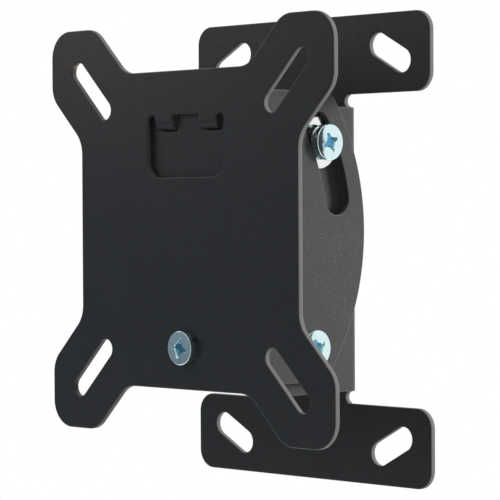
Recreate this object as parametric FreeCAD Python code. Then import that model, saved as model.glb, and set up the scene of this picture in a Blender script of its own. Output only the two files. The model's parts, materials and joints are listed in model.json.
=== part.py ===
import FreeCAD, Part
import math
import os

os.makedirs("parts", exist_ok=True)
Vec = FreeCAD.Vector

# Tilting wall mount for a small screen, millimetres and degrees.
# The wall is the plane Y = 0, the screen side is -Y, +X is right and +Z is up.
# The origin is the middle of the wall bracket's back face.

# Sheet and bends
SHEET = 2.0
BEND_INNER = 1.0
RUN = 0.05            # clearance between flat faces that slide on each other
SLIDE = 0.3           # clearance each side of a pin or bush in its slot
HOLE_PLAY = 0.2       # clearance each side of a screw in a plain hole
THREAD_PLAY = 0.05    # clearance each side between a screw and its nut

# Wall bracket
WALL_WIDTH = 103.6
WALL_HEIGHT = 146.4
WALL_FLANGE = 24.7    # height of the upper and of the lower wall flange
WALL_CORNER = 6.0
RELIEF = 4.0          # height of the relief between a flange and an ear
RELIEF_PAST_BEND = 1.0
EAR_WIDTH = 39.5      # across the outer faces of the two ears
EAR_EDGE = 5.0        # metal between the slot of an ear and its free edge
EAR_CORNER = 6.0
WALL_SLOT = 7.5
WALL_SLOT_SHIFT = 10.9
WALL_SLOT_ANGLE = 28.4
WALL_SLOT_SIDE = 16.6   # from a side edge to the middle of a wall slot
WALL_SLOT_EDGE = 12.4   # from the upper or lower edge to the middle of a wall slot

# Tilt motion: all the arcs share one axis, which lies in front of the plate
AXIS_REACH = 70.9
AXIS_RISE = 6.1
TILT_UP = 5.0
TILT_DOWN = 18.0
WALL_GAP = 1.6        # rear arc of the tilt flange to the wall
GUIDE_INSET = 11.3    # from the rear arc to the line of the screws
GUIDE_RISE = 27.0     # upper screw above the axis
CLAMP_DROP = 35.9     # lower screw below the axis

# Tilt bracket
FLANGE_RISE = 42.6    # upper edge above the axis
FLANGE_DROP = 46.4    # lower edge below the axis
FLANGE_CORNER = 4.0

# Plate for the screen
PLATE_REACH = 55.5    # from the wall to the front of the plate
PLATE_LIFT = 0.4      # middle of the plate above the axis
VESA_LARGE = 100.0
VESA_STEP = 25.0      # between the two hole patterns that each slot joins
VESA_SLOT = 6.0
TIP_MARGIN = 13.2     # from the outer hole to the tip of an arm
WAIST_MARGIN = 11.1   # from the inner hole to the waist
ARM_WIDTH = 29.6
ARM_CORNER = 8.5
ARM_ROOT = 9.0
WINDOW_WIDTH = 34.2
WINDOW_HEIGHT = 19.1
WINDOW_RISE = 16.1
WINDOW_CORNER = 5.0
HOOK_WIDTH = 7.4
HOOK_SPACING = 19.6
HOOK_DROP = 5.0       # from the top of the window to the edge that the hook sits on
HOOK_TIP = 3.6
HOOK_PLAY = 0.2       # between the hook and that edge
HOOK_BEHIND = 0.6     # between the web and the lip of the hook
SLIT_HEIGHT = 7.8
SLIT_PLAY = 0.6
PLATE_SCREW_DROP = 35.8

# Fasteners
SCREW = 5.0
SIDE_HEAD_RIM = 3.1   # from the shank to the rim of the head
PLATE_HEAD_RIM = 2.7
HEAD_HEIGHT = 1.8
RECESS = 6.3
RECESS_ARM = 1.4
RECESS_DEPTH = 1.2
RECESS_FLANK = 18.0   # lean of the ends of the recess
GUIDE_TURN = 23.0     # turn of each recess about its screw
CLAMP_TURN = 30.0
PLATE_TURN = -15.0
LOCK_THICK = 1.2
PLATE_LOCK_INSET = 0.6   # rim of the plate's lock washer inside the rim of its screw
LOCK_GAP = 0.9
LOCK_SKEW = 20.0      # lean of the split of a lock washer
LOCK_TURN = 50.0      # from the recess of a screw to the split of its lock washer
HEAD_BEARING = 0.5    # overlap of the head on each edge of the guide slot
GUIDE_RIM = 2.9       # overlap of the guide spacer on each edge of the guide slot
WASHER_RIM = 4.7      # overlap of a washer on each edge of the slot in the ear
WASHER_THICK = 1.2
SPACER = 2.2
NUT_WALL = 1.5
NUT_THICK = 4.0
SCREW_PAST_NUT = 1.0

# Positions that follow from the sizes
bend_outer = BEND_INNER + SHEET
ear_outer = EAR_WIDTH / 2
ear_inner = ear_outer - SHEET
flange_inner = ear_outer + SPACER + RUN
flange_outer = flange_inner + SHEET
plate_front = -PLATE_REACH
plate_back = plate_front + SHEET
web_front = plate_back
web_back = web_front + SHEET
axis_y = -AXIS_REACH
flange_arc = AXIS_REACH - WALL_GAP
guide_arc = flange_arc - GUIDE_INSET
guide_angle = math.degrees(math.asin(GUIDE_RISE / guide_arc))
clamp_angle = -math.degrees(math.asin(CLAMP_DROP / guide_arc))
ear_half = WALL_HEIGHT / 2 - WALL_FLANGE - RELIEF
pin_slot = SCREW + 2 * SLIDE
side_head = SCREW + 2 * SIDE_HEAD_RIM
plate_head = SCREW + 2 * PLATE_HEAD_RIM
plate_lock = plate_head - 2 * PLATE_LOCK_INSET
guide_slot = side_head - 2 * HEAD_BEARING
bush_width = guide_slot - 2 * SLIDE
guide_spacer_width = guide_slot + 2 * GUIDE_RIM
washer_width = pin_slot + 2 * WASHER_RIM
nut_flats = SCREW + 2 * NUT_WALL
screw_hole = SCREW + 2 * HOLE_PLAY
plate_rise = AXIS_RISE + PLATE_LIFT
vesa_small = VESA_LARGE - VESA_STEP
wall_slot_x = WALL_WIDTH / 2 - WALL_SLOT_SIDE
wall_slot_z = WALL_HEIGHT / 2 - WALL_SLOT_EDGE
slot_front = axis_y + guide_arc * math.cos(math.radians(clamp_angle - TILT_UP)) - pin_slot / 2
ear_reach = EAR_EDGE - slot_front


def rounded(points, radii):
    """Closed wire through the points, each corner rounded with its radius."""
    count = len(points)
    starts = []
    arcs = []
    for i in range(count):
        here = points[i]
        if radii[i] <= 0:
            starts.append((here, here))
            arcs.append(None)
            continue
        before = (points[i - 1] - here).normalize()
        after = (points[(i + 1) % count] - here).normalize()
        half = before.getAngle(after) / 2
        reach = radii[i] / math.tan(half)
        first = here + before * reach
        last = here + after * reach
        bisector = (before + after).normalize()
        middle = here + bisector * (radii[i] / math.sin(half) - radii[i])
        starts.append((first, last))
        arcs.append(Part.Arc(first, middle, last).toShape())
    edges = []
    for i in range(count):
        if arcs[i] is not None:
            edges.append(arcs[i])
        leave = starts[i][1]
        arrive = starts[(i + 1) % count][0]
        if leave.distanceToPoint(arrive) > 1e-6:
            edges.append(Part.LineSegment(leave, arrive).toShape())
    return Part.Wire(edges)


def prism(points, radii, along):
    return Part.Face(rounded(points, radii)).extrude(along)


def plate_xz(points, radii, y0, y1):
    """Sheet between two Y planes, outlined by (x, z) points."""
    outline = [Vec(x, y0, z) for x, z in points]
    return prism(outline, radii, Vec(0, y1 - y0, 0))


def strip_yz(points, radii, x0, x1):
    """Solid between two X planes, outlined by (y, z) points."""
    outline = [Vec(x0, y, z) for y, z in points]
    return prism(outline, radii, Vec(x1 - x0, 0, 0))


def slot_xz(first, last, width, y0, y1):
    """Cutter for a straight round-ended slot between two (x, z) points."""
    dx = last[0] - first[0]
    dz = last[1] - first[1]
    length = math.hypot(dx, dz)
    ux = dx / length * width / 2
    uz = dz / length * width / 2
    corners = [
        Vec(first[0] - uz, y0, first[1] + ux),
        Vec(last[0] - uz, y0, last[1] + ux),
        Vec(last[0] + uz, y0, last[1] - ux),
        Vec(first[0] + uz, y0, first[1] - ux),
    ]
    far = Vec(last[0] + ux, y0, last[1] + uz)
    near = Vec(first[0] - ux, y0, first[1] - uz)
    wire = Part.Wire([
        Part.LineSegment(corners[0], corners[1]).toShape(),
        Part.Arc(corners[1], far, corners[2]).toShape(),
        Part.LineSegment(corners[2], corners[3]).toShape(),
        Part.Arc(corners[3], near, corners[0]).toShape(),
    ])
    return Part.Face(wire).extrude(Vec(0, y1 - y0, 0))


def on_arc(radius, angle, x):
    """Point at an angle above the horizontal on an arc about the tilt axis."""
    turn = math.radians(angle)
    return Vec(x, axis_y + radius * math.cos(turn), AXIS_RISE + radius * math.sin(turn))


def arc_slot(radius, low, high, width, x0, x1):
    """Cutter for a curved slot about the tilt axis, its end centres at two angles."""
    r0 = radius - width / 2
    r1 = radius + width / 2
    mid = (low + high) / 2
    cap = math.degrees(width / 2 / radius)
    wire = Part.Wire([
        Part.Arc(on_arc(r1, low, x0), on_arc(r1, mid, x0), on_arc(r1, high, x0)).toShape(),
        Part.Arc(on_arc(r1, high, x0), on_arc(radius, high + cap, x0), on_arc(r0, high, x0)).toShape(),
        Part.Arc(on_arc(r0, high, x0), on_arc(r0, mid, x0), on_arc(r0, low, x0)).toShape(),
        Part.Arc(on_arc(r0, low, x0), on_arc(radius, low - cap, x0), on_arc(r1, low, x0)).toShape(),
    ])
    return Part.Face(wire).extrude(Vec(x1 - x0, 0, 0))


def mirrored(shape):
    return shape.mirror(Vec(0, 0, 0), Vec(1, 0, 0))


def fused(shapes):
    return shapes[0].fuse(shapes[1:]).removeSplitter()


def save(shape, name):
    if shape.ShapeType != "Solid":
        shape = shape.Solids[0]
    shape.exportStep("parts/" + name + ".step")


def channel(half, far, near, z0, z1):
    """Folded channel: base with its outer face on Y = far, sides on X = +half and -half to Y = near."""
    toward = 1 if near > far else -1
    inner = half - SHEET
    floor = far + toward * SHEET
    points = [
        (half, near), (half, far), (-half, far), (-half, near),
        (-inner, near), (-inner, floor), (inner, floor), (inner, near),
    ]
    radii = [0, bend_outer, bend_outer, 0, 0, BEND_INNER, BEND_INNER, 0]
    outline = [Vec(x, y, z0) for x, y in points]
    return prism(outline, radii, Vec(0, 0, z1 - z0))


# Wall bracket: one blank with two wall flanges, the two ears folded forward from its middle
def wall_bracket():
    half_w = WALL_WIDTH / 2
    half_h = WALL_HEIGHT / 2
    inner_h = half_h - WALL_FLANGE
    flange = [(-half_w, inner_h), (half_w, inner_h), (half_w, half_h), (-half_w, half_h)]
    upper = plate_xz(flange, [WALL_CORNER] * 4, -SHEET, 0)
    lower = upper.mirror(Vec(0, 0, 0), Vec(0, 0, 1))
    strip_half = ear_outer - bend_outer
    overlap = WALL_FLANGE / 2
    spine = [
        (-strip_half, -inner_h - overlap), (strip_half, -inner_h - overlap),
        (strip_half, inner_h + overlap), (-strip_half, inner_h + overlap),
    ]
    spine = plate_xz(spine, [0] * 4, -SHEET, 0)
    ears = channel(ear_outer, 0, -ear_reach, -ear_half, ear_half)
    side = [(-ear_reach, -ear_half), (0, -ear_half), (0, ear_half), (-ear_reach, ear_half)]
    ears = ears.common(strip_yz(side, [EAR_CORNER, 0, 0, EAR_CORNER], -ear_outer, ear_outer))
    body = fused([upper, lower, spine, ears])
    relief_mid = ear_half + RELIEF / 2
    relief_in = strip_half - RELIEF_PAST_BEND + RELIEF / 2
    cutters = []
    for side_x in (1, -1):
        for side_z in (1, -1):
            start = (side_x * relief_in, side_z * relief_mid)
            stop = (side_x * WALL_WIDTH, side_z * relief_mid)
            cutters.append(slot_xz(start, stop, RELIEF, -ear_reach, SHEET))
            turn = math.radians(WALL_SLOT_ANGLE)
            along = (math.cos(turn) * WALL_SLOT_SHIFT / 2, math.sin(turn) * WALL_SLOT_SHIFT / 2)
            inner = (wall_slot_x - along[0], wall_slot_z + along[1])
            outer = (wall_slot_x + along[0], wall_slot_z - along[1])
            start = (side_x * inner[0], side_z * inner[1])
            stop = (side_x * outer[0], side_z * outer[1])
            cutters.append(slot_xz(start, stop, WALL_SLOT, -2 * SHEET, SHEET))
    hole = on_arc(guide_arc, guide_angle, -2 * ear_outer)
    cutters.append(Part.makeCylinder(screw_hole / 2, 4 * ear_outer, hole, Vec(1, 0, 0)))
    low = clamp_angle - TILT_UP
    high = clamp_angle + TILT_DOWN
    cutters.append(arc_slot(guide_arc, low, high, pin_slot, -2 * ear_outer, 2 * ear_outer))
    return body.cut(cutters)


# Tilt bracket: channel whose sides end in an arc about the tilt axis
def tilt_bracket():
    top = AXIS_RISE + FLANGE_RISE
    bottom = AXIS_RISE - FLANGE_DROP
    shell = channel(flange_outer, web_front, 0, bottom, top)
    high = math.degrees(math.asin(FLANGE_RISE / flange_arc))
    low = -math.degrees(math.asin(FLANGE_DROP / flange_arc))
    x0 = -flange_outer
    upper_end = on_arc(flange_arc, high, x0)
    lower_end = on_arc(flange_arc, low, x0)
    outline = Part.Wire([
        Part.LineSegment(Vec(x0, web_front, bottom), lower_end).toShape(),
        Part.Arc(lower_end, on_arc(flange_arc, 0, x0), upper_end).toShape(),
        Part.LineSegment(upper_end, Vec(x0, web_front, top)).toShape(),
        Part.LineSegment(Vec(x0, web_front, top), Vec(x0, web_front, bottom)).toShape(),
    ])
    side = Part.Face(outline).extrude(Vec(2 * flange_outer, 0, 0))
    corners = []
    for edge in side.Edges:
        middle = edge.CenterOfMass
        for end in (upper_end, lower_end):
            if abs(middle.x) < 1e-6 and abs(middle.y - end.y) < 1e-6 and abs(middle.z - end.z) < 1e-6:
                corners.append(edge)
    side = side.makeFillet(FLANGE_CORNER, corners)
    body = shell.common(side)
    reach = 2 * flange_outer
    low = guide_angle - TILT_DOWN
    high = guide_angle + TILT_UP
    cutters = [arc_slot(guide_arc, low, high, guide_slot, -reach, reach)]
    hole = on_arc(guide_arc, clamp_angle, -reach)
    cutters.append(Part.makeCylinder(screw_hole / 2, 2 * reach, hole, Vec(1, 0, 0)))
    hole = Vec(0, web_front - SHEET, plate_rise - PLATE_SCREW_DROP)
    cutters.append(Part.makeCylinder(screw_hole / 2, 3 * SHEET, hole, Vec(0, 1, 0)))
    slit_low = plate_rise + WINDOW_RISE + WINDOW_HEIGHT - HOOK_DROP
    slit_half = HOOK_WIDTH / 2 + SLIT_PLAY
    for side_x in (1, -1):
        mid = side_x * HOOK_SPACING / 2
        cutters.append(Part.makeBox(
            2 * slit_half, 3 * SHEET, SLIT_HEIGHT, Vec(mid - slit_half, web_front - SHEET, slit_low)))
    return body.cut(cutters)


# Hook: tongue of the plate that bends back through the slit of the web and drops behind it
def hook(x0, x1):
    root = plate_rise + WINDOW_RISE + WINDOW_HEIGHT
    seat = root - HOOK_DROP
    tip = seat - HOOK_TIP
    top = root + SHEET
    under = seat + HOOK_PLAY
    over = under + SHEET
    behind = web_back + HOOK_BEHIND
    points = [
        (plate_front, top), (plate_front, under), (behind, under), (behind, tip),
        (behind + SHEET, tip), (behind + SHEET, over), (plate_back, over), (plate_back, top),
    ]
    radii = [0, bend_outer, BEND_INNER, 0, 0, bend_outer, BEND_INNER, 0]
    return strip_yz(points, radii, x0, x1)


# Plate: cross-shaped sheet with a slot along each arm, a window and the two hooks
def vesa_plate():
    tip = VESA_LARGE / 2 + TIP_MARGIN
    waist = vesa_small / 2 + WAIST_MARGIN
    arm = ARM_WIDTH / math.sqrt(2)
    quarter = [(waist, waist - arm), (tip, tip - arm), (tip, tip), (tip - arm, tip), (waist - arm, waist)]
    radii = [ARM_ROOT, ARM_CORNER, ARM_CORNER, ARM_CORNER, ARM_ROOT]
    points = []
    for turn in range(4):
        angle = turn * math.pi / 2
        c = round(math.cos(angle))
        s = round(math.sin(angle))
        points += [(c * x - s * z, plate_rise + s * x + c * z) for x, z in quarter]
    body = plate_xz(points, radii * 4, plate_front, plate_back)
    cutters = []
    front = plate_front - SHEET
    back = plate_back + SHEET
    for side_x in (1, -1):
        for side_z in (1, -1):
            first = (side_x * vesa_small / 2, plate_rise + side_z * vesa_small / 2)
            last = (side_x * VESA_LARGE / 2, plate_rise + side_z * VESA_LARGE / 2)
            cutters.append(slot_xz(first, last, VESA_SLOT, front, back))
    half = WINDOW_WIDTH / 2
    low = plate_rise + WINDOW_RISE
    top = low + WINDOW_HEIGHT
    hook_out = HOOK_SPACING / 2 + HOOK_WIDTH / 2
    notch = half - hook_out
    sill = top - notch / 2
    main = [(-half, low), (half, low), (half, sill), (-half, sill)]
    cutters.append(plate_xz(main, [WINDOW_CORNER, WINDOW_CORNER, 0, 0], front, back))
    middle = [(-hook_out, low), (hook_out, low), (hook_out, top), (-hook_out, top)]
    cutters.append(plate_xz(middle, [0] * 4, front, back))
    for side_x in (1, -1):
        mid = side_x * (half + hook_out) / 2
        cutters.append(slot_xz((mid, low + WINDOW_HEIGHT / 2), (mid, sill), notch, front, back))
    hole = Vec(0, front, plate_rise - PLATE_SCREW_DROP)
    cutters.append(Part.makeCylinder(screw_hole / 2, 3 * SHEET, hole, Vec(0, 1, 0)))
    body = body.cut(cutters)
    hook_in = HOOK_SPACING / 2 - HOOK_WIDTH / 2
    return fused([body, hook(hook_in, hook_out), hook(-hook_out, -hook_in)])


# Fasteners, drawn with the head toward +Z and the bearing face of the head on Z = 0
def recess_bar():
    """One bar of the cross recess, its ends leaning in toward the bottom."""
    lean = RECESS_DEPTH * math.tan(math.radians(RECESS_FLANK))
    half = RECESS / 2
    bottom = HEAD_HEIGHT - RECESS_DEPTH
    side = RECESS_ARM / 2
    profile = [(-half + lean, bottom), (half - lean, bottom), (half, HEAD_HEIGHT), (-half, HEAD_HEIGHT)]
    outline = [Vec(x, -side, z) for x, z in profile]
    return prism(outline, [0] * 4, Vec(0, RECESS_ARM, 0))


def pan_screw(width, length):
    head = Part.makeCylinder(width / 2, HEAD_HEIGHT)
    bar = recess_bar()
    other = bar.copy()
    other.rotate(Vec(0, 0, 0), Vec(0, 0, 1), 90)
    head = head.cut([bar, other])
    shank = Part.makeCylinder(SCREW / 2, length, Vec(0, 0, -length))
    return fused([head, shank])


def ring(outer, inner, thick):
    return Part.makeCylinder(outer / 2, thick).cut(Part.makeCylinder(inner / 2, thick))


def lock_washer(width):
    body = ring(width, screw_hole, LOCK_THICK)
    split = Part.makeBox(width, LOCK_GAP, 3 * LOCK_THICK, Vec(0, -LOCK_GAP / 2, -LOCK_THICK))
    split.rotate(Vec(0, 0, LOCK_THICK / 2), Vec(1, 0, 0), LOCK_SKEW)
    return body.cut(split)


def nut():
    across = nut_flats / math.cos(math.pi / 6) / 2
    corners = []
    for k in range(6):
        turn = k * math.pi / 3
        corners.append(Vec(across * math.cos(turn), across * math.sin(turn), 0))
    body = prism(corners, [0] * 6, Vec(0, 0, NUT_THICK))
    return body.cut(Part.makeCylinder(SCREW / 2 + THREAD_PLAY, NUT_THICK))


def along_x(shape, x, radius, angle, spin=0):
    """Turn a fastener's +Z to +X and set its Z = 0 on the given X, at an angle about the tilt axis."""
    placed = shape.copy()
    placed.rotate(Vec(0, 0, 0), Vec(0, 0, 1), spin)
    placed.rotate(Vec(0, 0, 0), Vec(0, 1, 0), 90)
    placed.translate(on_arc(radius, angle, x))
    return placed


def along_front(shape, y, z, spin=0):
    """Turn a fastener's +Z to -Y and set its Z = 0 on the given Y."""
    placed = shape.copy()
    placed.rotate(Vec(0, 0, 0), Vec(0, 0, 1), spin)
    placed.rotate(Vec(0, 0, 0), Vec(1, 0, 0), 90)
    placed.translate(Vec(0, y, z))
    return placed


def both_sides(shape, name):
    save(shape, name + "_right")
    save(mirrored(shape), name + "_left")


save(wall_bracket(), "wall_bracket")
save(tilt_bracket(), "tilt_bracket")
save(vesa_plate(), "vesa_plate")

# Upper screws: fixed in the ears, their bushes guide the slots of the tilt bracket
bush_x = flange_inner - RUN
lock_x = flange_outer + RUN
head_x = lock_x + LOCK_THICK
nut_x = ear_inner - NUT_THICK
guide = pan_screw(side_head, head_x - nut_x + SCREW_PAST_NUT)
both_sides(along_x(guide, head_x, guide_arc, guide_angle, GUIDE_TURN), "guide_screw")
split_turn = GUIDE_TURN + LOCK_TURN
both_sides(along_x(lock_washer(side_head), lock_x, guide_arc, guide_angle, split_turn), "guide_lock_washer")
bush = ring(bush_width, screw_hole, lock_x - bush_x)
both_sides(along_x(bush, bush_x, guide_arc, guide_angle), "guide_bush")
spacer = ring(guide_spacer_width, screw_hole, SPACER)
both_sides(along_x(spacer, ear_outer, guide_arc, guide_angle), "guide_spacer")
both_sides(along_x(nut(), nut_x, guide_arc, guide_angle), "guide_nut")

# Lower screws: fixed in the tilt bracket, they run in the slots of the ears and clamp the tilt
lock_x = flange_outer
head_x = lock_x + LOCK_THICK
washer_x = ear_inner - RUN - WASHER_THICK
nut_x = washer_x - NUT_THICK
clamp = pan_screw(side_head, head_x - nut_x + SCREW_PAST_NUT)
both_sides(along_x(clamp, head_x, guide_arc, clamp_angle, CLAMP_TURN), "clamp_screw")
split_turn = CLAMP_TURN + LOCK_TURN
both_sides(along_x(lock_washer(side_head), lock_x, guide_arc, clamp_angle, split_turn), "clamp_lock_washer")
spacer = ring(washer_width, screw_hole, SPACER)
both_sides(along_x(spacer, flange_inner - SPACER, guide_arc, clamp_angle), "clamp_spacer")
flat = ring(washer_width, screw_hole, WASHER_THICK)
both_sides(along_x(flat, washer_x, guide_arc, clamp_angle), "clamp_washer")
both_sides(along_x(nut(), nut_x, guide_arc, clamp_angle), "clamp_nut")

# Plate screw: locks the hung plate to the web
plate_screw_z = plate_rise - PLATE_SCREW_DROP
head_y = plate_front - LOCK_THICK
plate_screw = pan_screw(plate_head, LOCK_THICK + 2 * SHEET + NUT_THICK + SCREW_PAST_NUT)
save(along_front(plate_screw, head_y, plate_screw_z, PLATE_TURN), "plate_screw")
split_turn = PLATE_TURN + LOCK_TURN
save(along_front(lock_washer(plate_lock), plate_front, plate_screw_z, split_turn), "plate_lock_washer")
save(along_front(nut(), web_back + NUT_THICK, plate_screw_z), "plate_nut")
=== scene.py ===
import json
import math
from collections import defaultdict

import bmesh
import bpy
from mathutils import Matrix, Vector


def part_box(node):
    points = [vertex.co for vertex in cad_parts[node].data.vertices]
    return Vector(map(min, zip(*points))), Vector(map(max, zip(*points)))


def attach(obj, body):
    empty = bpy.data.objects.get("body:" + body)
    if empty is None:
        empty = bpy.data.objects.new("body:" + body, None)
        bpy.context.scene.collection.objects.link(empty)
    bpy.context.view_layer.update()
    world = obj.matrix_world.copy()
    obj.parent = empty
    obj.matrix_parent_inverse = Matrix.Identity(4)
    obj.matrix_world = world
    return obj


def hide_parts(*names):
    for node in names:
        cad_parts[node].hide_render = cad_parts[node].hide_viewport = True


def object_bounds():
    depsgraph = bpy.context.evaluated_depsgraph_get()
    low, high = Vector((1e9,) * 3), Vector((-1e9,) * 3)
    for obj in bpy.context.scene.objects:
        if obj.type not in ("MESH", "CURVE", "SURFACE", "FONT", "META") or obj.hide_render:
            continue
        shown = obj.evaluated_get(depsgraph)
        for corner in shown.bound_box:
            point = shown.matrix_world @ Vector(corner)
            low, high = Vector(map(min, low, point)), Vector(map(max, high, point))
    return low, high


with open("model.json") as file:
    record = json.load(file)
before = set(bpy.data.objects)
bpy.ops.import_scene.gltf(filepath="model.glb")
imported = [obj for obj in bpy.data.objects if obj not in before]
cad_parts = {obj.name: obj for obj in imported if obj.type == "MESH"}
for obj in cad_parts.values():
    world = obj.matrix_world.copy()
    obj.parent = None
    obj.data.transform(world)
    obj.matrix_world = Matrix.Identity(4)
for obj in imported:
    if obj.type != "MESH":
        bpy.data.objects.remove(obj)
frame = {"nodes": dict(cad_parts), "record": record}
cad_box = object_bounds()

# Looks of a tilting wall mount for a small screen. Lengths in metres, angles in degrees.
MM = 0.001

# Camera, as it stood for the photograph
AZIMUTH = 46.15
ELEVATION = 0.98
ROLL = -0.30
DISTANCE = 0.7574
AIM = Vector((-0.0006, -0.0276, 0.0))
FOCAL_PIXELS = 2430.0
IMAGE_PIXELS = 500
SENSOR = 36.0
CLIP_NEAR = 0.01
CLIP_FAR = 50.0

# Edges of the coated sheets
WELD = 1e-6           # vertices nearer than this are one
FLAT_ANGLE = 0.5      # faces that meet at less than this make one flat panel
SHARP_ANGLE = 28.0    # edges that turn by more than this are rounded over
SMOOTH_ANGLE = 40.0
EDGE_ROUND = 0.5 * MM
EDGE_STEPS = 4
EASE_ROUNDS = 6
EASE_SHARE = 0.2      # least length that the rounding leaves of a short edge, as a share
CUT_WIDTH = 3.0 * MM  # skins narrower than this are cut edges
FOLD_LEAN = 0.5       # least cosine between a fold and the step into a skin for the step to follow the fold
CORNER_LEAST = 0.05   # least determinant at a corner, below which its two edges count as one line

# Ramps
MIDDLE = (0.3, 0.7)   # places between which most of a noise lies
BLACK = (0.0, 0.0, 0.0)
WHITE = (1.0, 1.0, 1.0)

# Powder coat
COAT_GRAIN = 0.45 * MM
COAT_TOOTH = (0.35, 0.65)     # places in the grain where the coat is deepest and palest
COAT_DEEP = (0.0150, 0.0150, 0.0150)
COAT_PALE = ((0.0215, 0.0215, 0.0215), (0.0264, 0.0264, 0.0264))
COAT_MOTTLE = 9.0 * MM
COAT_ROUGH = (0.40, 0.56)
COAT_ROUGH_SIZE = 3.0 * MM
COAT_BUMP = 0.25
COAT_BUMP_DEPTH = 0.05 * MM
COAT_SPECULAR = 0.5
SPECK_SIZE = 0.7 * MM
SPECK_PLACES = (0.845, 0.885)
SPECK_GREY = (0.11, 0.11, 0.11)
# Cut edges are painted a paler grey: a painted highlight
CUT_HIGHLIGHT_GREY = (0.065, 0.065, 0.065)
CUT_HIGHLIGHT_SHARE = 0.8

# Bare spot at the upper end of one slot of the plate, measured in from the plate's upper left corner
BARE_SPOT = Vector((10.9, 0.85, -11.35)) * MM
BARE_CORE = 0.55 * MM
BARE_RADIUS = 1.1 * MM
BARE_RAGGED = 0.9 * MM
BARE_METAL = (0.19, 0.14, 0.095)

# Zinc plate of the fasteners and of the spacers, and the darker, bluer floors of their recesses, which are
# painted shade and painted inter-reflection: pale and deep colour, size of the clouds, least and most
# roughness
ZINC = ((0.75, 0.90, 0.92), (0.63, 0.83, 0.86), 2.5 * MM, (0.05, 0.10))
# Recess floors: darker and bluer than the head, painted shade and painted inter-reflection of the cross
# recess
RECESS_SHADED_ZINC = ((0.21, 0.55, 0.74), (0.03, 0.19, 0.34), 0.4 * MM, (0.18, 0.30))
CLEAR_ZINC = ((0.90, 0.90, 0.90), (0.80, 0.80, 0.80), 2.5 * MM, (0.08, 0.16))
ZINC_ROUGH_SIZE = 0.8 * MM
ZINC_GRAIN = 0.25 * MM
ZINC_BUMP = 0.15

# Moulded acetal
ACETAL = ((0.006, 0.006, 0.007), (0.010, 0.010, 0.011))
ACETAL_CLOUD = 2.0 * MM
ACETAL_ROUGH = (0.55, 0.70)
ACETAL_ROUGH_SIZE = 0.6 * MM
ACETAL_GRAIN = 0.2 * MM
ACETAL_BUMP = 0.2
ACETAL_SPECULAR = 0.25
FINE_BUMP_DEPTH = 0.02 * MM   # of zinc and acetal

# Screws with a pan head and a cross recess
HEAD_HEIGHT = 1.8 * MM
HEAD_DOME = 0.3 * MM
HEAD_FACE = 3.6 * MM
HEAD_RIM_ROUND = 0.3 * MM
HEAD_FOOT_ROUND = 0.05 * MM
HEAD_STEPS = 6              # straight steps in each rounding of a head
SHANK_RADIUS = 2.5 * MM
PITCH = 0.8 * MM
THREAD_DEPTH = 0.4 * MM
THREAD_STEPS = 8            # rings in one pitch
THREAD_SLOPE = 1.25         # steepness of the flanks
THREAD_CREST = 0.1          # share of the depth that the flanks lose to the flat crest
THREAD_RUNOUT = 0.8 * MM
TAIL_CHAMFER = 0.5 * MM
RECESS_REACH = 3.3 * MM
RECESS_TIP = 0.5 * MM       # half the width of an arm at its tip
RECESS_PULL = 0.65 * MM     # both coordinates of the point that draws in the sweep between two arms
RECESS_STEPS = 8            # straight steps along a sweep
RECESS_LIP = 0.12 * MM
RECESS_LIP_SCALE = 0.945
RECESS_DEPTH = 1.2 * MM
RECESS_TAPER = 0.8
RECESS_RISE = 0.25          # rise of the recess floor toward the tips, as a share of its depth
TURNS = {"guide": 23.0, "clamp": 30.0, "plate": -15.0}

# Washers, bushes and nuts
RING_ROUND = 0.15 * MM
RING_STEPS = 4              # straight steps in each rounding of a washer
LOCK_ROUND = 0.04 * MM
BORE_RADIUS = 2.7 * MM
SPLIT_WIDTH = 0.9 * MM
SPLIT_SKEW = 20.0
SPLIT_TURN = 50.0
NUT_FLATS = 8.0 * MM
NUT_CROWN = 0.94
NUT_SLOPE = 30.0
NUT_BORE = 2.55 * MM
NUT_BORE_CHAMFER = 0.3 * MM
ROUND_STEPS = 72

# Stage
FLOOR_DROP = 1.6
FLOOR_SIZE = 14.0
FLOOR_HEIGHT = cad_box[0].z - FLOOR_DROP
FLOOR_GRAIN = 0.02
FLOOR_GREYS = ((0.40, 0.40, 0.40), (0.43, 0.43, 0.43))
FLOOR_GLOW = 0.75           # light that lifts the floor to white for the camera and in reflections
SCREEN_RADIUS = 1.5
SCREEN_TOP = 1.3
SCREEN_STEPS = 24
SCREEN_WEAVE = 0.01
SLATE = ((0.136, 0.157, 0.180), (0.160, 0.184, 0.211))
SLATE_SPAN = (-85.0, 60.0)  # azimuths
DARK = ((0.06, 0.07, 0.08), (0.09, 0.10, 0.12))
DARK_SPAN = (112.0, 127.5)
KEY_PLACE = (0.90, 0.90, 0.28)
KEY_SIZE = 0.4
KEY_POWER = 66.0
FILL_PLACE = (-0.25, -0.22, 0.13)
FILL_SIZE = 0.12
FILL_POWER = 0.075
LOW_FILL_PLACE = (-0.20, -0.22, -0.17)
LOW_FILL_POWER = 0.045

body_of = {}
for body, members in frame["record"]["behaviour"]["bodies"].items():
    for member in members:
        body_of[member] = body


# Shader node helpers
def new_material(name):
    material = bpy.data.materials.new(name)
    material.use_nodes = True
    material.node_tree.nodes.clear()
    return material


def add(tree, kind, **inputs):
    """Node of a kind, with values or links given by socket name, spaces written as underscores."""
    node = tree.nodes.new("ShaderNode" + kind)
    for key, value in inputs.items():
        socket = node.inputs[key.replace("_", " ")]
        if isinstance(value, bpy.types.NodeSocket):
            tree.links.new(value, socket)
        else:
            socket.default_value = value
    return node


def object_point(tree):
    return add(tree, "TexCoord").outputs["Object"]


def noise(tree, point, size, detail=2.0):
    """Noise whose grains are about the given size across."""
    return add(tree, "TexNoise", Vector=point, Scale=1.0 / size, Detail=detail).outputs["Fac"]


def ramp(tree, factor, places, first, last):
    """Colour that runs from the first to the last as the factor runs between two places."""
    node = add(tree, "ValToRGB", Fac=factor)
    for element, place, colour in zip(node.color_ramp.elements, places, (first, last)):
        element.position = place
        element.color = (*colour, 1.0)
    return node.outputs["Color"]


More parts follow.
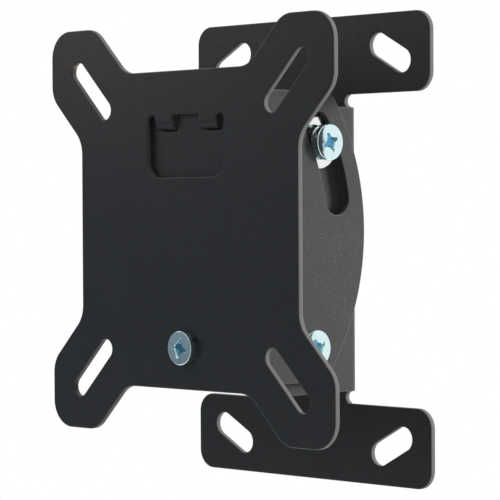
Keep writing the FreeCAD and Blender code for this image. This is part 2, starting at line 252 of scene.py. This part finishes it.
def span(tree, factor, low, high):
    """Value that runs from low to high as the factor runs from 0 to 1."""
    return add(tree, "MapRange", Value=factor, To_Min=low, To_Max=high).outputs["Result"]


def blend_colour(tree, factor, first, second):
    """Blend of two colours, each a link or a plain colour, by a linked factor."""
    node = tree.nodes.new("ShaderNodeMix")
    node.data_type = "RGBA"
    sockets = {socket.identifier: socket for socket in node.inputs}
    for key, value in (("Factor_Float", factor), ("A_Color", first), ("B_Color", second)):
        if isinstance(value, bpy.types.NodeSocket):
            tree.links.new(value, sockets[key])
        else:
            sockets[key].default_value = (*value, 1.0)
    return next(socket for socket in node.outputs if socket.identifier == "Result_Color")


def combine(tree, operation, first, second):
    node = tree.nodes.new("ShaderNodeMath")
    node.operation = operation
    tree.links.new(first, node.inputs[0])
    tree.links.new(second, node.inputs[1])
    return node.outputs["Value"]


def bumped(tree, height, strength, depth):
    return add(tree, "Bump", Height=height, Strength=strength, Distance=depth).outputs["Normal"]


def finish_surface(tree, shader):
    output = tree.nodes.new("ShaderNodeOutputMaterial")
    tree.links.new(shader.outputs[0], output.inputs["Surface"])


def bare_spot(tree, point):
    """Value that falls from 1 at the bare spot to 0 at a ragged radius about it."""
    low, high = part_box("vesa_plate")
    away = add(tree, "VectorMath")
    away.operation = "DISTANCE"
    tree.links.new(point, away.inputs[0])
    away.inputs[1].default_value = Vector((low.x, low.y, high.z)) + BARE_SPOT
    ragged = span(tree, noise(tree, point, BARE_RAGGED), -BARE_RAGGED, BARE_RAGGED)
    reach = combine(tree, "ADD", away.outputs["Value"], ragged)
    fall = add(
        tree, "MapRange", Value=reach, From_Min=BARE_CORE, From_Max=BARE_RADIUS, To_Min=1.0, To_Max=0.0)
    return fall.outputs["Result"]


# Satin black powder coat: fine orange peel, slight mottling, pale specks, a painted highlight of paler grey
# on the cut edges, one bare spot
def powder_coat():
    material = new_material("black_powder_coat")
    tree = material.node_tree
    point = object_point(tree)
    grain = noise(tree, point, COAT_GRAIN)
    pale = ramp(tree, noise(tree, point, COAT_MOTTLE, detail=3.0), MIDDLE, *COAT_PALE)
    tooth = ramp(tree, grain, COAT_TOOTH, BLACK, WHITE)
    colour = blend_colour(tree, tooth, COAT_DEEP, pale)
    speck = ramp(tree, noise(tree, point, SPECK_SIZE, detail=0.0), SPECK_PLACES, BLACK, WHITE)
    colour = blend_colour(tree, speck, colour, SPECK_GREY)
    edge = add(tree, "Attribute")
    edge.attribute_name = "edge"
    # painted highlight: the cut edges blend toward a paler grey
    cut = span(tree, edge.outputs["Fac"], 0.0, CUT_HIGHLIGHT_SHARE)
    colour = blend_colour(tree, cut, colour, CUT_HIGHLIGHT_GREY)
    colour = blend_colour(tree, bare_spot(tree, point), colour, BARE_METAL)
    rough = span(tree, noise(tree, point, COAT_ROUGH_SIZE, detail=3.0), *COAT_ROUGH)
    normal = bumped(tree, grain, COAT_BUMP, COAT_BUMP_DEPTH)
    shader = add(tree, "BsdfPrincipled", Base_Color=colour, Roughness=rough, Normal=normal)
    shader.inputs["Specular IOR Level"].default_value = COAT_SPECULAR
    finish_surface(tree, shader)
    return material


# Zinc plate with a clear or bluish passivation; the recess floors' zinc is darkened and blued as painted
# shade
def zinc_plate(name, pale, deep, cloud, roughness):
    material = new_material(name)
    tree = material.node_tree
    point = object_point(tree)
    colour = blend_colour(tree, noise(tree, point, cloud, detail=3.0), deep, pale)
    rough = span(tree, noise(tree, point, ZINC_ROUGH_SIZE, detail=4.0), *roughness)
    normal = bumped(tree, noise(tree, point, ZINC_GRAIN, detail=3.0), ZINC_BUMP, FINE_BUMP_DEPTH)
    shader = add(tree, "BsdfPrincipled", Base_Color=colour, Roughness=rough, Normal=normal)
    shader.inputs["Metallic"].default_value = 1.0
    finish_surface(tree, shader)
    return material


# Moulded black acetal
def moulded_plastic():
    material = new_material("black_acetal")
    tree = material.node_tree
    point = object_point(tree)
    colour = ramp(tree, noise(tree, point, ACETAL_CLOUD, detail=3.0), MIDDLE, *ACETAL)
    rough = span(tree, noise(tree, point, ACETAL_ROUGH_SIZE, detail=3.0), *ACETAL_ROUGH)
    normal = bumped(tree, noise(tree, point, ACETAL_GRAIN), ACETAL_BUMP, FINE_BUMP_DEPTH)
    shader = add(tree, "BsdfPrincipled", Base_Color=colour, Roughness=rough, Normal=normal)
    shader.inputs["Specular IOR Level"].default_value = ACETAL_SPECULAR
    finish_surface(tree, shader)
    return material


coat = powder_coat()
zinc = zinc_plate("zinc_plate", *ZINC)
# zinc of the recess floors, darkened and blued as painted shade
recess_shaded_zinc = zinc_plate("zinc_recess_painted_shade", *RECESS_SHADED_ZINC)
clear_zinc = zinc_plate("clear_zinc", *CLEAR_ZINC)
acetal = moulded_plastic()


# Pieces
def new_object(name, bm, materials):
    """Object in the scene with the mesh of a bmesh, which is freed."""
    mesh = bpy.data.meshes.new(name)
    bm.to_mesh(mesh)
    bm.free()
    for material in materials:
        mesh.materials.append(material)
    piece = bpy.data.objects.new(name, mesh)
    bpy.context.scene.collection.objects.link(piece)
    return piece


def add_piece(name, bm, node, materials):
    """Piece that stands for a CAD node and moves with its body."""
    piece = new_object(name, bm, materials)
    for polygon in piece.data.polygons:
        polygon.use_smooth = True
    piece.data.set_sharp_from_angle(angle=math.radians(SMOOTH_ANGLE))
    normals = piece.modifiers.new("normals", "WEIGHTED_NORMAL")
    normals.keep_sharp = True
    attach(piece, body_of[node])
    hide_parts(node)


def bend(start, middle, end, share):
    """Point at a share of the way along the curve from start to end that bends toward the middle."""
    return start * (1 - share) ** 2 + middle * (2 * share * (1 - share)) + end * share ** 2


# Coated sheets: the CAD sheets with their cut edges rounded over
def patches(bm, joins):
    """Number of the patch that each face is in; a patch spreads across the edges that join."""
    numbers = {}
    for count, seed in enumerate(bm.faces):
        if seed in numbers:
            continue
        numbers[seed] = count
        front = [seed]
        while front:
            for edge in front.pop().edges:
                for face in edge.link_faces:
                    if face not in numbers and joins(edge):
                        numbers[face] = count
                        front.append(face)
    return numbers


def inset(vert, number, skin, panel):
    """Step from a vertex into one skin, away from the edges where that skin meets others."""
    pulls = []
    folds = []
    upright = Vector()
    for edge in vert.link_edges:
        beside = [face for face in edge.link_faces if skin[face] == number]
        along = (edge.other_vert(vert).co - vert.co).normalized()
        if len(beside) == 2 and panel[beside[0]] != panel[beside[1]]:
            folds.append(along)
        if len(beside) != 1:
            continue
        pull = beside[0].normal.cross(along)
        if pull.dot(beside[0].calc_center_median() - vert.co) < 0:
            pull.negate()
        pulls.append(pull)
        upright += beside[0].normal
    if not pulls:
        return Vector()
    mean = sum(pulls, Vector()).normalized()
    if len(folds) == 1 and folds[0].dot(mean) > FOLD_LEAN:
        return folds[0] * (EDGE_ROUND / folds[0].dot(mean))
    if len(pulls) == 2:
        system = Matrix((pulls[0], pulls[1], upright.normalized()))
        if abs(system.determinant()) > CORNER_LEAST:
            return system.inverted() @ Vector((EDGE_ROUND, EDGE_ROUND, 0.0))
    return mean * EDGE_ROUND


def inset_steps(bm, skin, panel):
    """Step of every vertex into each of its skins, shortened where the rim of a panel would turn round."""
    steps = {}
    rims = []
    for face in bm.faces:
        for vert in face.verts:
            if (vert, skin[face]) not in steps:
                steps[vert, skin[face]] = inset(vert, skin[face], skin, panel)
        for edge in face.edges:
            if panel[edge.link_faces[0]] != panel[edge.link_faces[1]]:
                rims.append((*edge.verts, skin[face]))
    for _ in range(EASE_ROUNDS):
        for one, two, number in rims:
            way = two.co - one.co
            moved = way + steps[two, number] - steps[one, number]
            if moved.dot(way) < EASE_SHARE * way.length_squared:
                steps[one, number] = steps[one, number] / 2
                steps[two, number] = steps[two, number] / 2
    return steps


def cut_skins(bm, skin):
    """Numbers of the skins that are cut edges, told by their area over half their outline."""
    area = defaultdict(float)
    outline = defaultdict(float)
    for face in bm.faces:
        area[skin[face]] += face.calc_area()
    for edge in bm.edges:
        sides = {skin[face] for face in edge.link_faces}
        if len(sides) == 2:
            for number in sides:
                outline[number] += edge.calc_length()
    return {number for number in area if area[number] < CUT_WIDTH * outline[number] / 2}


def rounded_copy(source):
    """Copy of a closed sheet with its sharp edges rounded over; the layer "edge" marks the cut edges, where
    the coat paints a highlight.
    """
    old = bmesh.new()
    old.from_mesh(source)
    bmesh.ops.remove_doubles(old, verts=old.verts, dist=WELD)
    turn = {edge: math.degrees(edge.calc_face_angle(0.0)) for edge in old.edges}
    skin = patches(old, lambda edge: turn[edge] < SHARP_ANGLE)
    panel = patches(old, lambda edge: turn[edge] < FLAT_ANGLE)
    steps = inset_steps(old, skin, panel)
    cut = cut_skins(old, skin)
    bm = bmesh.new()
    mark = bm.verts.layers.float.new("edge")
    corners = {}
    rails = {}

    def corner(vert, number):
        key = (vert, number)
        if key not in corners:
            corners[key] = bm.verts.new(vert.co + steps[key])
            corners[key][mark] = float(number in cut)
        return corners[key]

    def rail(vert, first, last):
        """Vertices over the rounding at an old vertex, from one skin to another."""
        key = (vert, first, last)
        if key not in rails:
            start = corner(vert, first)
            end = corner(vert, last)
            between = []
            for k in range(1, EDGE_STEPS):
                t = k / EDGE_STEPS
                between.append(bm.verts.new(bend(start.co, vert.co, end.co, t)))
                between[-1][mark] = start[mark] * (1 - t) + end[mark] * t
            rails[key] = [start, *between, end]
        return rails[key]

    rims = defaultdict(list)
    for edge in old.edges:
        one, two = sorted(edge.link_faces, key=lambda face: skin[face])
        if panel[one] == panel[two]:
            continue
        if skin[one] == skin[two]:
            fold = bm.edges.new([corner(vert, skin[one]) for vert in edge.verts])
            rims[panel[one]].append(fold)
            rims[panel[two]].append(fold)
            continue
        first, second = [rail(vert, skin[one], skin[two]) for vert in edge.verts]
        bridge(bm, first, second, closed=False)
        rims[panel[one]].append(bm.edges.get((first[0], second[0])))
        rims[panel[two]].append(bm.edges.get((first[-1], second[-1])))
    upright = {panel[face]: face.normal for face in old.faces}
    for number, rim in rims.items():
        bmesh.ops.triangle_fill(bm, edges=rim, normal=upright[number], use_beauty=True)
    bmesh.ops.holes_fill(bm, edges=[edge for edge in bm.edges if edge.is_boundary], sides=0)
    bmesh.ops.recalc_face_normals(bm, faces=bm.faces)
    old.free()
    return bm


def coated_sheet(node):
    bm = rounded_copy(frame["nodes"][node].data)
    add_piece(node + "_coated", bm, node, [coat])


# Fasteners, turned about +Z and then set in place
def placed(node, outward, turn=0.0):
    """Radius and length of a fastener's node, and the matrix that sets +Z outward from its inner end."""
    low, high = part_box(node)
    size = high - low
    axis = max(range(3), key=lambda i: abs(outward[i]))
    origin = (low + high) / 2
    origin[axis] = low[axis] if outward[axis] > 0 else high[axis]
    first = Vector((1.0, 0.0, 0.0)) if axis == 1 else Vector((0.0, 0.0, -1.0))
    stand = Matrix((first, outward.cross(first), outward)).transposed().to_4x4()
    spin = Matrix.Rotation(math.radians(turn), 4, "Z")
    radius = max(size[i] for i in range(3) if i != axis) / 2
    return radius, size[axis], Matrix.Translation(origin) @ stand @ spin


def rounded_profile(points, steps):
    """Profile through (radius, height, rounding) points, each corner turned into an arc."""
    profile = []
    for i, (radius, height, rounding) in enumerate(points):
        here = Vector((radius, height))
        if rounding == 0:
            profile.append(here)
            continue
        before = (Vector(points[i - 1][:2]) - here).normalized()
        after = (Vector(points[(i + 1) % len(points)][:2]) - here).normalized()
        reach = rounding / math.tan(before.angle(after) / 2)
        start = here + before * reach
        end = here + after * reach
        profile += [bend(start, here, end, k / steps) for k in range(steps + 1)]
    return profile


def ring_of(bm, radius, height, start=0.0, sweep=2 * math.pi, lean=0.0):
    """Ring of vertices; the lean turns it about the axis in proportion to its height."""
    verts = []
    for k in range(ROUND_STEPS):
        turn = start + sweep * k / ROUND_STEPS + lean * height
        verts.append(bm.verts.new((radius * math.cos(turn), radius * math.sin(turn), height)))
    return verts


def bridge(bm, first, second, closed=True):
    count = len(first)
    for k in range(count if closed else count - 1):
        after = (k + 1) % count
        bm.faces.new((first[k], first[after], second[after], second[k]))


def cap(bm, ring, height):
    """Fan that closes a ring to a point on the axis."""
    middle = bm.verts.new((0.0, 0.0, height))
    return [bm.faces.new((ring[k - 1], ring[k], middle)) for k in range(len(ring))]


def turned(name, bm, matrix, node, materials):
    bmesh.ops.recalc_face_normals(bm, faces=bm.faces)
    bmesh.ops.transform(bm, matrix=matrix, verts=bm.verts)
    add_piece(name, bm, node, materials)


def ring_section(outer, height, rounding):
    corners = ((outer, 0.0), (outer, height), (BORE_RADIUS, height), (BORE_RADIUS, 0.0))
    return rounded_profile([(radius, place, rounding) for radius, place in corners], RING_STEPS)


def washer(node, outward, ending="_plated", material=zinc):
    radius, length, matrix = placed(node, outward)
    bm = bmesh.new()
    rings = [ring_of(bm, p.x, p.y) for p in ring_section(radius, length, RING_ROUND)]
    for k in range(len(rings)):
        bridge(bm, rings[k - 1], rings[k])
    turned(node + ending, bm, matrix, node, [material])


def lock_washer(node, outward, turn):
    """Spring washer: one turn of a rounded square wire, split by a slanted gap."""
    radius, length, matrix = placed(node, outward, turn)
    gap = SPLIT_WIDTH / radius
    lean = math.tan(math.radians(SPLIT_SKEW)) / radius
    bm = bmesh.new()
    rows = [ring_of(bm, p.x, p.y, gap / 2, 2 * math.pi - gap, lean)
            for p in ring_section(radius, length, LOCK_ROUND)]
    for k in range(len(rows)):
        bridge(bm, rows[k - 1], rows[k], closed=False)
    bm.faces.new([row[0] for row in rows])
    bm.faces.new([row[-1] for row in rows])
    turned(node + "_plated", bm, matrix, node, [zinc])


def nut(node, outward):
    """Hexagon nut, its corners cut off by a cone at both ends and its bore opened by a chamfer."""
    _, length, matrix = placed(node, outward)
    apothem = NUT_FLATS / 2
    crown = apothem * NUT_CROWN
    slope = math.tan(math.radians(NUT_SLOPE))
    bm = bmesh.new()

    def hexagon(height, rise):
        """Outline of the flats, each point moved along the axis as the cone cuts there."""
        verts = []
        for k in range(ROUND_STEPS):
            turn = 2 * math.pi * k / ROUND_STEPS
            reach = apothem / math.cos(turn % (math.pi / 3) - math.pi / 6)
            place = height + rise * (reach - crown) * slope
            verts.append(bm.verts.new((reach * math.cos(turn), reach * math.sin(turn), place)))
        return verts

    wide = NUT_BORE + NUT_BORE_CHAMFER
    loops = [
        ring_of(bm, crown, 0.0), hexagon(0.0, 1), hexagon(length, -1), ring_of(bm, crown, length),
        ring_of(bm, wide, length), ring_of(bm, NUT_BORE, length - NUT_BORE_CHAMFER),
        ring_of(bm, NUT_BORE, NUT_BORE_CHAMFER), ring_of(bm, wide, 0.0),
    ]
    for k in range(len(loops)):
        bridge(bm, loops[k - 1], loops[k])
    turned(node + "_plated", bm, matrix, node, [zinc])


def recess_outline():
    """Points of the cross recess: the tips of four arms, joined by hollow sweeps."""
    sweep = []
    for k in range(RECESS_STEPS + 1):
        t = k / RECESS_STEPS
        x = bend(RECESS_REACH, RECESS_PULL, RECESS_TIP, t)
        y = bend(RECESS_TIP, RECESS_PULL, RECESS_REACH, t)
        sweep.append((x, y))
    points = []
    for quarter in range(4):
        turn = quarter * math.pi / 2
        cos, sin = math.cos(turn), math.sin(turn)
        points += [(x * cos - y * sin, x * sin + y * cos) for x, y in sweep]
    return points


def thread_rows(bm, length):
    """Rings of the threaded shank from its tail at Z = 0 to the head at Z = length."""
    step = PITCH / THREAD_STEPS
    total = math.ceil(length / step)
    rows = []
    for i in range(total + 1):
        height = length * i / total
        depth = THREAD_DEPTH * min(1.0, (length - height) / THREAD_RUNOUT)
        row = []
        for k in range(ROUND_STEPS):
            turn = 2 * math.pi * k / ROUND_STEPS
            phase = (height / PITCH - k / ROUND_STEPS) % 1.0
            flank = min(1.0, max(0.0, THREAD_SLOPE * abs(2 * phase - 1) - THREAD_CREST))
            radius = min(SHANK_RADIUS - depth * flank, SHANK_RADIUS - TAIL_CHAMFER + height)
            row.append(bm.verts.new((radius * math.cos(turn), radius * math.sin(turn), height)))
        rows.append(row)
    return rows


def recess_walls(bm, face_height):
    """Rings down the cross recess: its outline in the face, the foot of its lip, the rim of its floor."""
    walls = [[], [], []]
    for x, y in recess_outline():
        reach = math.hypot(x, y)
        floor = RECESS_DEPTH * (1 - RECESS_RISE * (reach / RECESS_REACH) ** 2)
        steps = ((0.0, 1.0), (RECESS_LIP, RECESS_LIP_SCALE), (floor, RECESS_TAPER))
        for wall, (depth, scale) in zip(walls, steps):
            wall.append(bm.verts.new((x * scale, y * scale, face_height(reach) - depth)))
    return walls


def screw(node, outward, turn):
    """Pan screw in one skin: tail, thread, head, face and cross recess; the recess floor has material 1,
    the zinc darkened and blued as painted shade.
    """
    radius, length, matrix = placed(node, outward, turn)
    under = length - HEAD_HEIGHT

    def face_height(reach):
        return length - HEAD_DOME * (reach / radius) ** 2

    bm = bmesh.new()
    rows = thread_rows(bm, under)
    shoulder = (HEAD_FACE + radius) / 2
    head = rounded_profile([
        (SHANK_RADIUS, under, 0.0), (radius, under, HEAD_FOOT_ROUND),
        (radius, face_height(radius), HEAD_RIM_ROUND),
        (shoulder, face_height(shoulder), 0.0), (HEAD_FACE, face_height(HEAD_FACE), 0.0),
    ], HEAD_STEPS)
    rows += [ring_of(bm, p.x, p.y) for p in head[1:]]
    for k in range(1, len(rows)):
        bridge(bm, rows[k - 1], rows[k])
    cap(bm, rows[0], 0.0)
    face_edges = [bm.edges.get((rows[-1][k - 1], rows[-1][k])) for k in range(ROUND_STEPS)]
    walls = recess_walls(bm, face_height)
    bridge(bm, walls[0], walls[1])
    bridge(bm, walls[1], walls[2])
    # the recess floor takes material 1, the zinc darkened and blued as painted shade
    for face in cap(bm, walls[2], length - RECESS_DEPTH):
        face.material_index = 1
    face_edges += [bm.edges.get((walls[0][k - 1], walls[0][k])) for k in range(len(walls[0]))]
    bmesh.ops.triangle_fill(bm, edges=face_edges, normal=(0.0, 0.0, 1.0), use_beauty=True)
    turned(node + "_plated", bm, matrix, node, [zinc, recess_shaded_zinc])


for sheet in ("wall_bracket", "tilt_bracket", "vesa_plate"):
    coated_sheet(sheet)

FRONT = Vector((0.0, -1.0, 0.0))
for side, sign in (("right", 1.0), ("left", -1.0)):
    out = Vector((sign, 0.0, 0.0))
    for group in ("guide", "clamp"):
        screw(f"{group}_screw_{side}", out, sign * TURNS[group])
        lock_washer(f"{group}_lock_washer_{side}", out, sign * (TURNS[group] + SPLIT_TURN))
        nut(f"{group}_nut_{side}", out)
        washer(f"{group}_spacer_{side}", out, material=clear_zinc)
    washer(f"guide_bush_{side}", out, "_moulded", acetal)
    washer(f"clamp_washer_{side}", out)
screw("plate_screw", FRONT, TURNS["plate"])
lock_washer("plate_lock_washer", FRONT, TURNS["plate"] + SPLIT_TURN)
nut("plate_nut", FRONT)


# Stage: white floor well below the part, white surround, a slate and a dark screen, three soft lamps
def add_stage(name, bm, material):
    piece = new_object(name, bm, [material])
    return piece


def build_floor():
    material = new_material("white_floor")
    tree = material.node_tree
    grain = noise(tree, object_point(tree), FLOOR_GRAIN, detail=3.0)
    diffuse = add(tree, "BsdfDiffuse", Color=ramp(tree, grain, MIDDLE, *FLOOR_GREYS))
    path = add(tree, "LightPath").outputs
    seen = path["Is Camera Ray"]
    for other in ("Is Glossy Ray", "Is Transmission Ray"):
        seen = combine(tree, "MAXIMUM", seen, path[other])
    glow = add(tree, "Emission", Color=(*WHITE, 1.0), Strength=span(tree, seen, 0.0, FLOOR_GLOW))
    sum_of = tree.nodes.new("ShaderNodeAddShader")
    tree.links.new(diffuse.outputs[0], sum_of.inputs[0])
    tree.links.new(glow.outputs[0], sum_of.inputs[1])
    finish_surface(tree, sum_of)
    bm = bmesh.new()
    bmesh.ops.create_grid(bm, x_segments=2, y_segments=2, size=FLOOR_SIZE / 2)
    floor = add_stage("floor", bm, material)
    floor.location.z = FLOOR_HEIGHT


def build_screen(name, azimuths, colours):
    """Cloth wall between two azimuths, which only reflections and soft light meet."""
    first, last = azimuths
    material = new_material(name)
    tree = material.node_tree
    weave = noise(tree, object_point(tree), SCREEN_WEAVE, detail=3.0)
    finish_surface(tree, add(tree, "BsdfDiffuse", Color=ramp(tree, weave, MIDDLE, *colours)))
    bm = bmesh.new()
    rows = []
    for height in (FLOOR_HEIGHT, SCREEN_TOP):
        row = []
        for k in range(SCREEN_STEPS + 1):
            turn = math.radians(first + (last - first) * k / SCREEN_STEPS)
            place = (SCREEN_RADIUS * math.sin(turn), -SCREEN_RADIUS * math.cos(turn), height)
            row.append(bm.verts.new(place))
        rows.append(row)
    bridge(bm, rows[0], rows[1], closed=False)
    add_stage(name, bm, material).visible_camera = False


def build_world():
    world = bpy.data.worlds.new("surround")
    world.use_nodes = True
    tree = world.node_tree
    tree.nodes.clear()
    background = add(tree, "Background", Color=(*WHITE, 1.0), Strength=1.0)
    output = tree.nodes.new("ShaderNodeOutputWorld")
    tree.links.new(background.outputs[0], output.inputs["Surface"])
    bpy.context.scene.world = world


def add_lamp(name, place, size, power, mirrored):
    data = bpy.data.lights.new(name, "AREA")
    data.shape = "SQUARE"
    data.size = size
    data.energy = power
    lamp = bpy.data.objects.new(name, data)
    lamp.location = place
    lamp.rotation_euler = (AIM - Vector(place)).to_track_quat("-Z", "Y").to_euler()
    lamp.visible_camera = False
    lamp.visible_glossy = mirrored
    bpy.context.scene.collection.objects.link(lamp)


def add_camera():
    azimuth = math.radians(AZIMUTH)
    elevation = math.radians(ELEVATION)
    level = math.cos(elevation)
    back = Vector((math.sin(azimuth) * level, -math.cos(azimuth) * level, math.sin(elevation)))
    data = bpy.data.cameras.new("camera")
    data.sensor_width = SENSOR
    data.lens = SENSOR * FOCAL_PIXELS / IMAGE_PIXELS
    data.clip_start = CLIP_NEAR
    data.clip_end = CLIP_FAR
    camera = bpy.data.objects.new("camera", data)
    turn = (-back).to_track_quat("-Z", "Y").to_matrix().to_4x4()
    spin = Matrix.Rotation(math.radians(ROLL), 4, "Z")
    camera.matrix_world = Matrix.Translation(AIM + back * DISTANCE) @ turn @ spin
    bpy.context.scene.collection.objects.link(camera)
    bpy.context.scene.camera = camera


build_floor()
build_screen("slate_screen", SLATE_SPAN, SLATE)
build_screen("dark_screen", DARK_SPAN, DARK)
build_world()
add_lamp("key_lamp", KEY_PLACE, KEY_SIZE, KEY_POWER, mirrored=False)
add_lamp("fill_lamp", FILL_PLACE, FILL_SIZE, FILL_POWER, mirrored=True)
add_lamp("low_fill_lamp", LOW_FILL_PLACE, FILL_SIZE, LOW_FILL_POWER, mirrored=True)
add_camera()
bpy.context.scene.view_settings.view_transform = "Standard"
